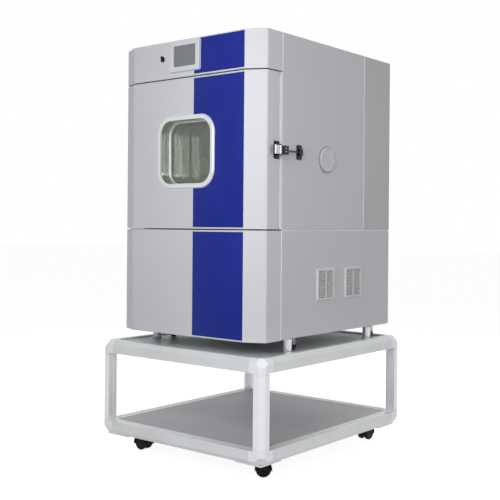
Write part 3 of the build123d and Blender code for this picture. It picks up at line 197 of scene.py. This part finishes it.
finishes = {
    # on the trolley bars, rails and connectors the pale green tone on upward faces is a painted
    # reflection, not dust
    "bar_aluminium": {"tone": (244, 245, 250), "metal": 0.4, "rough": (0.3, 0.4),
                      "grain": 900.0, "bump": 0.00005, "spread": 0.03, "patch": 5.0,
                      "dustAndSheen": 0.9, "dustAndSheenFrom": 0.4, "dustAndSheenTone": (206, 220, 206)},
    # rails: the posts' aluminium toned darker, as painted shade
    "railAluminiumShaded": {"tone": (221, 222, 225), "metal": 0.4, "rough": (0.3, 0.4),
                      "grain": 900.0, "bump": 0.00005, "spread": 0.05, "patch": 5.0,
                      "dustAndSheen": 0.9, "dustAndSheenFrom": 0.4, "dustAndSheenTone": (214, 228, 214)},
    "connector_metal": {"tone": (240, 241, 246), "metal": 0.35, "rough": (0.36, 0.48),
                        "grain": 1400.0, "bump": 0.00005, "spread": 0.03, "patch": 14.0,
                        "dustAndSheen": 0.9, "dustAndSheenFrom": 0.4, "dustAndSheenTone": (214, 226, 214)},
    "deck_grey": {"tone": (206, 207, 210), "rough": (0.4, 0.54), "specular": 0.4, "grain": 1500.0,
                  "bump": 0.00008, "dustAndSheen": 0.2, "spread": 0.08, "patch": 4.0},
    "shelf_grey": {"tone": (174, 173, 180), "rough": (0.42, 0.56), "specular": 0.4, "grain": 1500.0,
                   "bump": 0.00008, "dustAndSheen": 0.3, "spread": 0.07, "patch": 3.0},
    "zinc_steel": {"tone": (190, 192, 196), "metal": 0.9, "rough": (0.28, 0.44), "grain": 300.0,
                   "spread": 0.1, "patch": 40.0, "bump": 0.00004},
    "castor_black": {"tone": (20, 20, 22), "rough": (0.1, 0.18), "specular": 0.14, "grain": 700.0,
                     "bump": 0.00002, "spread": 0.2, "patch": 30.0},
    "front_paint": {"tone": (222, 223, 228), "rough": (0.36, 0.44), "specular": 0.35,
                    "grain": 420.0, "bump": 0.00005, "bumpStrength": 0.22, "spread": 0.015,
                    "patch": 2.5},
    # side and rear paint: the front paint toned darker, as painted shade on the sides and the rear
    "side_paint": {"tone": (216, 217, 221), "rough": (0.36, 0.44), "specular": 0.4, "grain": 420.0,
                   "bump": 0.00005, "bumpStrength": 0.24, "spread": 0.015, "patch": 2.5},
    "rear_paint": {"tone": (199, 200, 202), "rough": (0.36, 0.46), "coat": 0.05, "grain": 420.0,
                   "bump": 0.00005, "bumpStrength": 0.24, "spread": 0.02, "patch": 2.5},
    "frame_light": {"tone": (250, 250, 250), "rough": (0.34, 0.44), "grain": 420.0,
                    "bump": 0.00004, "spread": 0.015, "patch": 4.0},
    "seal_silicone": {"tone": (243, 244, 248), "rough": (0.5, 0.62), "grain": 900.0,
                      "bump": 0.00008, "spread": 0.05, "patch": 12.0, "specular": 0.35},
    "foam": {"tone": (226, 214, 176), "rough": (0.8, 0.95), "grain": 260.0, "bump": 0.0006,
             "bumpStrength": 0.6, "spread": 0.1, "patch": 18.0, "specular": 0.1},
    "stainless": {"tone": (196, 199, 197), "metal": 0.8, "rough": (0.26, 0.4), "grain": 90.0,
                  "stretch": (1, 1, 22), "bump": 0.00004, "spread": 0.05, "patch": 3.0},
    "window_glass": {"tone": (237, 242, 235), "rough": (0.0, 0.012), "clear": 1.0, "grain": 8.0,
                     "bump": 0.0, "spread": 0.01, "patch": 3.0},
    "ring_steel": {"tone": (226, 228, 232), "metal": 0.5, "rough": (0.2, 0.3), "grain": 700.0,
                   "bump": 0.00003, "spread": 0.03, "patch": 12.0},
    "bezel_plastic": {"tone": (226, 228, 233), "rough": (0.34, 0.46), "grain": 1600.0,
                      "bump": 0.00005, "spread": 0.02, "patch": 12.0},
    "screen_dark": {"tone": (120, 124, 130), "rough": (0.12, 0.2), "coat": 0.5, "grain": 900.0,
                    "bump": 0.00001, "spread": 0.04, "patch": 16.0},
    "chrome": {"tone": (190, 193, 200), "metal": 1.0, "rough": (0.08, 0.18), "grain": 500.0,
               "bump": 0.00002, "spread": 0.04, "patch": 40.0},
    "latch_black": {"tone": (24, 25, 28), "rough": (0.16, 0.28), "specular": 0.3, "grain": 900.0,
                    "bump": 0.00003, "spread": 0.15, "patch": 40.0},
    "black_plastic": {"tone": (26, 26, 28), "rough": (0.32, 0.48), "specular": 0.2, "grain": 1600.0,
                      "bump": 0.00008, "spread": 0.15, "patch": 30.0},
    "grille_plastic": {"tone": (228, 227, 228), "rough": (0.4, 0.52), "grain": 1500.0,
                       "bump": 0.00006, "spread": 0.03, "patch": 20.0},
    "port_cap": {"tone": (216, 216, 220), "rough": (0.38, 0.48), "grain": 1500.0,
                 "bump": 0.00005, "spread": 0.02, "patch": 16.0},
    "foot_steel": {"tone": (206, 207, 211), "metal": 0.8, "rough": (0.22, 0.34), "grain": 600.0,
                   "bump": 0.00004, "spread": 0.06, "patch": 30.0},
    "motor_paint": {"tone": (120, 126, 132), "rough": (0.4, 0.55), "grain": 500.0,
                    "bump": 0.0002, "spread": 0.07, "patch": 12.0},
    "fin_aluminium": {"tone": (206, 208, 210), "metal": 0.9, "rough": (0.3, 0.46), "grain": 700.0,
                      "bump": 0.00005, "spread": 0.06, "patch": 20.0},
    "compressor_black": {"tone": (38, 38, 40), "rough": (0.24, 0.38), "coat": 0.2, "grain": 300.0,
                         "bump": 0.0001, "spread": 0.15, "patch": 14.0},
    "blueFilm": {"tone": (30, 46, 146), "rough": (0.42, 0.5), "specular": 0.2, "grain": 520.0,
                 "bump": 0.00004, "bumpStrength": 0.2, "spread": 0.035, "patch": 3.0},
    # jamb steel: near white with strong drawn streaks, partly brushed grain and partly painted
    # reflections and painted light in the unlit jamb
    "jambSteelAndReflection": {"tone": (244, 245, 244), "metal": 0.9, "rough": (0.14, 0.26), "grain": 120.0,
                  "stretch": (1, 30, 0.4), "bump": 0.00004, "spread": 0.32, "patch": 5.0,
                  "drawn": True},
    "portRing": {"tone": (168, 169, 174), "rough": (0.3, 0.4), "grain": 900.0,
                 "bump": 0.00003, "spread": 0.03, "patch": 20.0},
    "screwSteel": {"tone": (188, 190, 194), "metal": 1.0, "rough": (0.2, 0.34), "grain": 900.0,
                   "bump": 0.00003, "spread": 0.08, "patch": 60.0},
}


def linear(tone):
    # from a tone on screen to the linear value that a shader takes
    shares = [t / 255 for t in tone]
    return tuple(v / 12.92 if v <= 0.04045 else ((v + 0.055) / 1.055) ** 2.4 for v in shares)


def shade(tone, by):
    return tuple(min(1.0, max(0.0, v * (1 + by))) for v in linear(tone)) + (1.0,)


def makeFinish(name):
    s = {**plainFinish, **finishes[name]}
    finish = bpy.data.materials.new(name)
    finish.use_nodes = True
    tree = finish.node_tree
    join = tree.links.new
    surface = tree.nodes["Principled BSDF"]
    place = tree.nodes.new("ShaderNodeTexCoord")
    lay = tree.nodes.new("ShaderNodeMapping")
    lay.inputs["Scale"].default_value = s["stretch"]
    join(place.outputs["Object"], lay.inputs["Vector"])

    patches = tree.nodes.new("ShaderNodeTexNoise")
    patches.inputs["Scale"].default_value = s["patch"]
    patches.inputs["Detail"].default_value = noiseSettings["patchDetail"]
    spot = lay.outputs["Vector"] if s["drawn"] else place.outputs["Object"]
    join(spot, patches.inputs["Vector"])
    grain = tree.nodes.new("ShaderNodeTexNoise")
    grain.inputs["Scale"].default_value = s["grain"]
    grain.inputs["Detail"].default_value = noiseSettings["grainDetail"]
    join(lay.outputs["Vector"], grain.inputs["Vector"])

    ramp = tree.nodes.new("ShaderNodeValToRGB")
    stops = ramp.color_ramp.elements
    stops[0].position, stops[1].position = noiseSettings["patchRange"]
    stops[0].color = shade(s["tone"], -s["spread"])
    stops[1].color = shade(s["tone"], s["spread"])
    join(patches.outputs["Fac"], ramp.inputs["Fac"])
    colour = ramp.outputs["Color"]

    if s["dustAndSheen"]:
        # dust, and on the trolley aluminium a painted pale green reflection, lies on what faces up,
        # thicker in some patches
        facing = tree.nodes.new("ShaderNodeNewGeometry")
        parts = tree.nodes.new("ShaderNodeSeparateXYZ")
        join(facing.outputs["Normal"], parts.inputs["Vector"])
        amount = tree.nodes.new("ShaderNodeMapRange")
        amount.inputs["From Min"].default_value = s["dustAndSheenFrom"]
        amount.inputs["To Max"].default_value = s["dustAndSheen"]
        join(parts.outputs["Z"], amount.inputs["Value"])
        patchyDustAndSheen = tree.nodes.new("ShaderNodeMath")
        patchyDustAndSheen.operation = "MULTIPLY"
        join(amount.outputs["Result"], patchyDustAndSheen.inputs[0])
        join(patches.outputs["Fac"], patchyDustAndSheen.inputs[1])
        dustAndSheenMix = tree.nodes.new("ShaderNodeMix")
        dustAndSheenMix.data_type = "RGBA"
        dustAndSheenInputs = [i for i in dustAndSheenMix.inputs if i.type == "RGBA"]
        dustAndSheenInputs[1].default_value = linear(s["dustAndSheenTone"]) + (1.0,)
        join(patchyDustAndSheen.outputs[0], dustAndSheenMix.inputs[0])
        join(colour, dustAndSheenInputs[0])
        colour = [o for o in dustAndSheenMix.outputs if o.type == "RGBA"][0]
    join(colour, surface.inputs["Base Color"])

    gloss = tree.nodes.new("ShaderNodeMapRange")
    gloss.inputs["From Min"].default_value = noiseSettings["grainRange"][0]
    gloss.inputs["From Max"].default_value = noiseSettings["grainRange"][1]
    gloss.inputs["To Min"].default_value = s["rough"][0]
    gloss.inputs["To Max"].default_value = s["rough"][1]
    join(grain.outputs["Fac"], gloss.inputs["Value"])
    join(gloss.outputs["Result"], surface.inputs["Roughness"])
    if s["bump"]:
        relief = tree.nodes.new("ShaderNodeBump")
        relief.inputs["Strength"].default_value = s["bumpStrength"]
        relief.inputs["Distance"].default_value = s["bump"]
        join(grain.outputs["Fac"], relief.inputs["Height"])
        join(relief.outputs["Normal"], surface.inputs["Normal"])
    surface.inputs["Metallic"].default_value = s["metal"]
    surface.inputs["Coat Weight"].default_value = s["coat"]
    surface.inputs["Specular IOR Level"].default_value = s["specular"]
    surface.inputs["Transmission Weight"].default_value = s["clear"]
    surface.inputs["IOR"].default_value = s["ior"]
    return finish


made = {name: makeFinish(name) for name in finishes}
for node in nodes.values():
    for slot in node.material_slots:
        slotName = slot.material.name.split(".")[0]
        slot.material = made[slotName]

# nodes that look different from the others with their material
otherFinishes = {
    # the window jamb gets streaked steel with painted reflections
    "window_frame": "jambSteelAndReflection",
    "port_tubes": "portRing",
    # the rails get the darker copy of the aluminium, painted shade
    "trolley_rails": "railAluminiumShaded",
}
for nodeName in otherFinishes:
    nodes[nodeName].material_slots[0].material = made[otherFinishes[nodeName]]
print("finishes made:", len(made))

# Tools for modelling by hand

smoothAngle = 35      # degrees: edges that turn less look smooth
facingShare = 0.9     # a face picked by its normal looks at least this squarely along the axis
straightShare = 0.99  # and a picked edge lies at least this straight along it


def look(piece, finishName, body, angle=smoothAngle):
    bpy.ops.object.mode_set(mode="OBJECT")
    bpy.ops.object.select_all(action="DESELECT")
    piece.select_set(True)
    bpy.context.view_layer.objects.active = piece
    bpy.ops.object.transform_apply(location=True, rotation=True, scale=True)
    bpy.ops.object.shade_smooth_by_angle(angle=math.radians(angle))
    piece.data.materials.clear()
    piece.data.materials.append(made[finishName])
    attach(piece, body)


def pick(piece, kind, test):
    # selects what passes the test and leaves the piece in edit mode
    bpy.ops.object.mode_set(mode="EDIT")
    bpy.ops.mesh.select_mode(type=kind)
    bpy.ops.mesh.select_all(action="DESELECT")
    bpy.ops.object.mode_set(mode="OBJECT")
    mesh = piece.data
    items = {"VERT": mesh.vertices, "EDGE": mesh.edges, "FACE": mesh.polygons}[kind]
    for item in items:
        item.select = bool(test(item))
    bpy.ops.object.mode_set(mode="EDIT")


def edgeLies(piece, edge, axis):
    ends = [piece.data.vertices[v].co for v in edge.vertices]
    return abs((ends[0] - ends[1]).normalized()[axis]) > straightShare


def block(name, low, high):
    bpy.ops.object.select_all(action="DESELECT")
    middle = [(a + b) / 2 for a, b in zip(low, high)]
    bpy.ops.mesh.primitive_cube_add(size=1, location=middle)
    piece = bpy.context.object
    piece.name = name
    piece.scale = [b - a for a, b in zip(low, high)]
    bpy.ops.object.transform_apply(location=True, rotation=True, scale=True)
    return piece


def roundedBlock(name, low, high, axis, radius, steps):
    piece = block(name, low, high)
    pick(piece, "EDGE", lambda e: edgeLies(piece, e, axis))
    bpy.ops.mesh.bevel(offset=radius, segments=steps)
    bpy.ops.object.mode_set(mode="OBJECT")
    return piece


def applied(piece, kind, **values):
    bpy.ops.object.select_all(action="DESELECT")
    piece.select_set(True)
    bpy.context.view_layer.objects.active = piece
    step = piece.modifiers.new(kind.title(), kind)
    for key, value in values.items():
        setattr(step, key, value)
    bpy.ops.object.modifier_apply(modifier=step.name)


def softened(piece, width, steps=2, **values):
    applied(piece, "BEVEL", width=width, segments=steps, limit_method="ANGLE", **values)


def cutAway(piece, cutter):
    applied(piece, "BOOLEAN", operation="DIFFERENCE", object=cutter, solver="EXACT")
    bpy.data.objects.remove(cutter)


# Blue film down the front

film = {
    "left": 0.038,
    "right": 0.276,
    "front": -0.418,
    "thick": 0.0003,
    "edge": 0.0001,
    "seamMargin": 0.006,
    "topMargin": 0.004,
    "notchMargin": 0.0012,
    "notchDeep": 0.02,
    "bezelCorner": 0.008,
    "bezelSteps": 6,
    "ringCorner": 0.069,
    "ringSteps": 18,
}


def filmStrip(name, node, body, topMargin, cutter=None):
    low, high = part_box(node)
    strip = block(
        name,
        (film["left"], film["front"] - film["thick"], low.z + film["seamMargin"]),
        (film["right"], film["front"], high.z - topMargin),
    )
    if cutter:
        cutAway(strip, cutter)
    softened(strip, film["edge"])
    look(strip, "blueFilm", body)


def notch(name, node, corner, steps):
    low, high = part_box(node)
    grow = film["notchMargin"]
    return roundedBlock(
        name,
        (low.x - grow, film["front"] - film["notchDeep"], low.z - grow),
        (high.x + grow, film["front"] + film["notchDeep"], high.z + grow),
        1, corner, steps,
    )


bezelNotch = notch("bezelNotch", "display_bezel", film["bezelCorner"], film["bezelSteps"])
filmStrip("stripeFascia", "fascia", "chamber", film["topMargin"], bezelNotch)
ringNotch = notch("ringNotch", "window_ring", film["ringCorner"], film["ringSteps"])
filmStrip("stripeDoor", "door_skin", "door", film["seamMargin"], ringNotch)
filmStrip("stripeCover", "lower_cover", "chamber", film["seamMargin"])
print("blue film made")

# Door gasket: a soft ring with a raised bead, closed all round

gasketShape = {
    "width": 0.046,
    "corner": 0.012,
    "cornerSteps": 4,
    "bead": 0.014,
    "sag": 0.0022,
    "soft": 0.002,
    "softSteps": 3,
    "cutPast": 0.02,
    "smooth": 60,
}


def makeGasket(s):
    low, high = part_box("door_gasket")
    ring = roundedBlock("gasketRing", low, high, 1, s["corner"], s["cornerSteps"])
    inner = roundedBlock(
        "gasketHole",
        (low.x + s["width"], low.y - s["cutPast"], low.z + s["width"]),
        (high.x - s["width"], high.y + s["cutPast"], high.z - s["width"]),
        1, s["corner"], s["cornerSteps"],
    )
    cutAway(ring, inner)
    # the front sinks, and its middle is raised again into a soft bead
    pick(ring, "FACE", lambda f: f.normal.y < -facingShare)
    bpy.ops.transform.translate(value=(0, s["sag"], 0))
    bpy.ops.mesh.inset(thickness=s["bead"])
    bpy.ops.transform.translate(value=(0, -s["sag"], 0))
    bpy.ops.object.mode_set(mode="OBJECT")
    softened(ring, s["soft"], s["softSteps"])
    return ring


gasket = makeGasket(gasketShape)
look(gasket, "seal_silicone", "chamber", gasketShape["smooth"])
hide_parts("door_gasket")
print("gasket made")

# Screws: one is modelled and copied

screwShape = {
    "radius": 0.0055,
    "height": 0.0031,
    "sides": 24,
    "dome": 0.0012,
    "domeSteps": 3,
    "socket": 0.0025,
    "socketSides": 6,
    "deep": 0.0018,
    "fromEdge": 0.022,
    "turn": 1.1,
    "rows": {"rear_cover": 4, "rear_panel_lower": 3},
}


def makeScrew(s):
    bpy.ops.object.select_all(action="DESELECT")
    bpy.ops.mesh.primitive_cylinder_add(
        vertices=s["sides"], radius=s["radius"], depth=s["height"],
        location=(0, 0, s["height"] / 2),
    )
    screw = bpy.context.object
    screw.name = "screwHead"
    bpy.ops.object.transform_apply(location=True, rotation=True, scale=True)
    pick(screw, "FACE", lambda f: f.normal.z > facingShare)
    bpy.ops.mesh.bevel(offset=s["dome"], segments=s["domeSteps"])
    bpy.ops.object.mode_set(mode="OBJECT")
    bpy.ops.object.select_all(action="DESELECT")
    bpy.ops.mesh.primitive_cylinder_add(
        vertices=s["socketSides"], radius=s["socket"], depth=s["deep"] * 2,
        location=(0, 0, s["height"]),
    )
    socket = bpy.context.object
    bpy.ops.object.transform_apply(location=True, rotation=True, scale=True)
    cutAway(screw, socket)
    return screw


def copyTo(source, name, move):
    copy = source.copy()
    copy.data = source.data.copy()
    copy.name = name
    scene.collection.objects.link(copy)
    copy.data.transform(move)
    return copy


def turnedTo(direction):
    return Vector(direction).to_track_quat("Z", "Y").to_matrix().to_4x4()


screwHead = makeScrew(screwShape)
facingBack = turnedTo((0, 1, 0))
screwPlaces = []
for side in (-1, 1):
    for nodeName, count in screwShape["rows"].items():
        low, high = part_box(nodeName)
        for step in range(count):
            height = low.z + (high.z - low.z) * (step + 0.5) / count
            screwPlaces.append((side * (high.x - screwShape["fromEdge"]), high.y, height))
for number, place in enumerate(screwPlaces):
    turned = Matrix.Rotation(number * screwShape["turn"], 4, "Z")
    move = Matrix.Translation(place) @ facingBack @ turned
    screw = copyTo(screwHead, "rearScrew" + str(number + 1), move)
    look(screw, "screwSteel", "chamber")
print("screws made:", len(screwPlaces))

# Black cover over the latch's claw, open to the panel and the rear, with two small rivets

clawCover = {
    "long": 0.036,
    "deep": 0.013,
    "proud": 0.0008,
    "sunk": 0.0003,
    "edge": 0.0016,
    "edgeSteps": 3,
    "cutPast": 0.01,
    "rivetSize": 0.42,
    "rivetApart": 0.011,
}


def makeClawCover(s):
    low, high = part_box("latch_lever")
    front = high.y - s["long"]
    cover = block(
        "clawCover",
        (high.x - s["deep"], front - s["proud"], low.z - s["proud"]),
        (high.x + s["proud"], high.y, high.z + s["proud"]),
    )
    softened(cover, s["edge"], s["edgeSteps"])
    inner = block(
        "clawInner",
        (high.x - s["deep"] - s["cutPast"], front + s["sunk"], low.z + s["sunk"]),
        (high.x - s["sunk"], high.y + s["cutPast"], high.z - s["sunk"]),
    )
    cutAway(cover, inner)
    return cover


look(makeClawCover(clawCover), "latch_black", "latch")
leverLow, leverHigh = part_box("latch_lever")
facingOut = turnedTo((1, 0, 0))
small = Matrix.Scale(clawCover["rivetSize"], 4)
for number, side in enumerate((-1, 1)):
    place = (
        leverHigh.x + clawCover["proud"],
        leverHigh.y - clawCover["long"] / 2,
        (leverLow.z + leverHigh.z) / 2 + side * clawCover["rivetApart"] / 2,
    )
    move = Matrix.Translation(place) @ facingOut @ small
    rivet = copyTo(screwHead, "clawRivet" + str(number + 1), move)
    look(rivet, "chrome", "latch")
bpy.data.objects.remove(screwHead)
print("latch cover made")

# Black strips inside the two seams across the front, painted shade for the dark gaps

seamShadeStrip = {
    "setBack": 0.010,
    "deep": 0.012,
    "thick": 0.0022,
    "flat": 0.272,
    "facet": (0.070, 0.0355),
    "sideBack": 0.060,
    "edge": 0.0004,
    "near": 0.001,        # a corner this near to a line counts as past it
}


def makeSeamShadeStrip(name, top, s):
    bpy.ops.object.select_all(action="DESELECT")
    front = film["front"] + s["setBack"]
    bpy.ops.mesh.primitive_plane_add(size=1, location=(0, front + s["deep"] / 2, top))
    strip = bpy.context.object
    strip.name = name
    strip.scale = (s["flat"] * 2, s["deep"], 1)
    bpy.ops.object.transform_apply(location=True, rotation=True, scale=True)
    # the ends are drawn out along the facets, then back along the sides
    tip = s["flat"] + s["facet"][0]
    facetFront = front + s["facet"][1]
    for side in (-1, 1):
        pick(strip, "VERT", lambda v: v.co.x * side > s["flat"] - s["near"])
        bpy.ops.mesh.extrude_region_move(
            TRANSFORM_OT_translate={"value": (side * s["facet"][0], s["facet"][1], 0)}
        )
        bpy.ops.object.mode_set(mode="OBJECT")
        for v in strip.data.vertices:
            if v.co.x * side > tip - s["near"] and v.co.y > facetFront + s["deep"] / 2:
                v.co.x = side * (tip - s["deep"])
        pick(strip, "VERT", lambda v: (
            v.co.x * side > tip - s["deep"] - s["near"] and v.co.y > facetFront - s["near"]
        ))
        bpy.ops.mesh.extrude_region_move(TRANSFORM_OT_translate={"value": (0, s["sideBack"], 0)})
        bpy.ops.object.mode_set(mode="OBJECT")
    applied(strip, "SOLIDIFY", thickness=s["thick"], offset=-1.0)
    softened(strip, s["edge"])
    # black plastic here is painted shade deep in the seam
    look(strip, "black_plastic", "chamber")


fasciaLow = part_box("fascia")[0].z
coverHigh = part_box("lower_cover")[1].z
makeSeamShadeStrip("seamShadeStripUpper", fasciaLow, seamShadeStrip)
makeSeamShadeStrip("seamShadeStripLower", coverHigh + seamShadeStrip["thick"], seamShadeStrip)
print("seam strips made")

# Pale strips where the side panels meet the front and the rear: the pale frame edge together with a
# painted highlight along the seam

trim = {
    "wide": 0.0052,
    "proud": 0.0006,
    "sunk": 0.0002,
    "edge": 0.0002,
    "endGap": 0.004,      # to the top and the bottom of the cabinet
    "seamGap": 0.002,     # to the seams across the front
    "rearShift": 0.0005,
    "rearGap": 0.001,
}
coverLow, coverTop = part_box("lower_cover")
fasciaBottom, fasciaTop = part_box("fascia")
panelLow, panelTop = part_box("side_panel_upper_right")
trimAndHighlightPlaces = {
    "Cover": (coverTop.y, coverLow.z + trim["endGap"], coverTop.z - trim["seamGap"]),
    "Fascia": (fasciaTop.y, fasciaBottom.z + trim["seamGap"], fasciaTop.z - trim["endGap"]),
    "Rear": (panelTop.y + trim["rearShift"], panelLow.z + trim["rearGap"],
             panelTop.z - trim["endGap"]),
}
for place, (middleY, lowZ, highZ) in trimAndHighlightPlaces.items():
    for sideName, side in (("Left", -1), ("Right", 1)):
        outer = side * panelTop.x
        spread = sorted((outer - side * trim["sunk"], outer + side * trim["proud"]))
        strip = block(
            "trim" + place + sideName,
            (spread[0], middleY - trim["wide"] / 2, lowZ),
            (spread[1], middleY + trim["wide"] / 2, highZ),
        )
        softened(strip, trim["edge"])
        # the pale finish stands for the frame edge and its painted highlight
        look(strip, "frame_light", "chamber")
print("trim made")

# Spacer between the window panes

spacer = {
    "front": -0.372,
    "back": -0.364,
    "thick": 0.004,
    "gap": 0.0004,
    "corner": 0.0515,
    "steps": 14,
    "edge": 0.0008,
    "edgeTurn": 0.9,      # radians: only edges that turn more are bevelled
    "cutPast": 0.01,
    "smooth": 50,
}


def makeSpacer(s):
    low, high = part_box("window_panes")
    ring = roundedBlock(
        "paneSpacer",
        (low.x + s["gap"], s["front"], low.z + s["gap"]),
        (high.x - s["gap"], s["back"], high.z - s["gap"]),
        1, s["corner"], s["steps"],
    )
    wall = s["gap"] + s["thick"]
    hole = roundedBlock(
        "spacerHole",
        (low.x + wall, s["front"] - s["cutPast"], low.z + wall),
        (high.x - wall, s["back"] + s["cutPast"], high.z - wall),
        1, s["corner"] - s["thick"], s["steps"],
    )
    cutAway(ring, hole)
    softened(ring, s["edge"], angle_limit=s["edgeTurn"])
    return ring


look(makeSpacer(spacer), "ring_steel", "door", spacer["smooth"])
print("window spacer made")

# Small transport castors under the cabinet, one modelled and copied

deckCastor = {
    "places": ((-0.302, -0.160), (0.302, -0.160), (-0.302, 0.385), (0.302, 0.385)),
    "wheelRadius": 0.0165,
    "wheelWidth": 0.013,
    "wheelSides": 40,
    "wheelLift": 0.0003,
    "wheelEdge": 0.0018,
    "wheelEdgeSteps": 3,
    "rim": 0.004,
    "dish": 0.7,          # width inside the rim, as a share of the wheel's
    "plate": (0.036, 0.030, 0.003),
    "cheek": 0.002,
    "cheekHigh": 0.026,
    "cheekLong": 0.6,     # share of the plate's length
    "cheekGap": 0.001,
    "cheekSunk": 0.0005,
    "bracketEdge": 0.0006,
}
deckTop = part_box("trolley_top")[1].z
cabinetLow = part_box("base_frame")[0].z


def makeDeckCastor(s):
    # bracket: plate and two cheeks, joined into one piece and bevelled
    half = s["wheelWidth"] / 2 + s["cheek"] + s["cheekGap"]
    across, lengthwise, thick = s["plate"]
    cheekEnd = lengthwise * s["cheekLong"] / 2
    bracket = block(
        "deckCastorBracket",
        (-across / 2, -lengthwise / 2, cabinetLow - thick),
        (across / 2, lengthwise / 2, cabinetLow),
    )
    for side in (-1, 1):
        inner = sorted((side * (half - s["cheek"]), side * half))
        cheek = block(
            "cheek",
            (inner[0], -cheekEnd, cabinetLow - thick - s["cheekHigh"]),
            (inner[1], cheekEnd, cabinetLow - thick + s["cheekSunk"]),
        )
        applied(bracket, "BOOLEAN", operation="UNION", object=cheek, solver="EXACT")
        bpy.data.objects.remove(cheek)
    softened(bracket, s["bracketEdge"])
    bpy.ops.object.select_all(action="DESELECT")
    bpy.ops.mesh.primitive_cylinder_add(
        vertices=s["wheelSides"], radius=s["wheelRadius"], depth=s["wheelWidth"],
        location=(0, 0, deckTop + s["wheelRadius"] + s["wheelLift"]),
        rotation=(0, math.pi / 2, 0),
    )
    wheel = bpy.context.object
    wheel.name = "deckCastorWheel"
    bpy.ops.object.transform_apply(location=True, rotation=True, scale=True)
    pick(wheel, "FACE", lambda f: abs(f.normal.x) > facingShare)
    bpy.ops.mesh.inset(thickness=s["rim"], use_individual=True)
    bpy.ops.transform.resize(value=(s["dish"], 1, 1), center_override=(0, 0, 0))
    bpy.ops.object.mode_set(mode="OBJECT")
    softened(wheel, s["wheelEdge"], s["wheelEdgeSteps"])
    return bracket, wheel


bracketOne, wheelOne = makeDeckCastor(deckCastor)
for number, (x, y) in enumerate(deckCastor["places"]):
    move = Matrix.Translation((x, y, 0))
    bracket = copyTo(bracketOne, "deckCastorBracket" + str(number + 1), move)
    look(bracket, "zinc_steel", "chamber")
    wheel = copyTo(wheelOne, "deckCastorWheel" + str(number + 1), move)
    look(wheel, "castor_black", "chamber")
bpy.data.objects.remove(bracketOne)
bpy.data.objects.remove(wheelOne)
print("transport castors made")
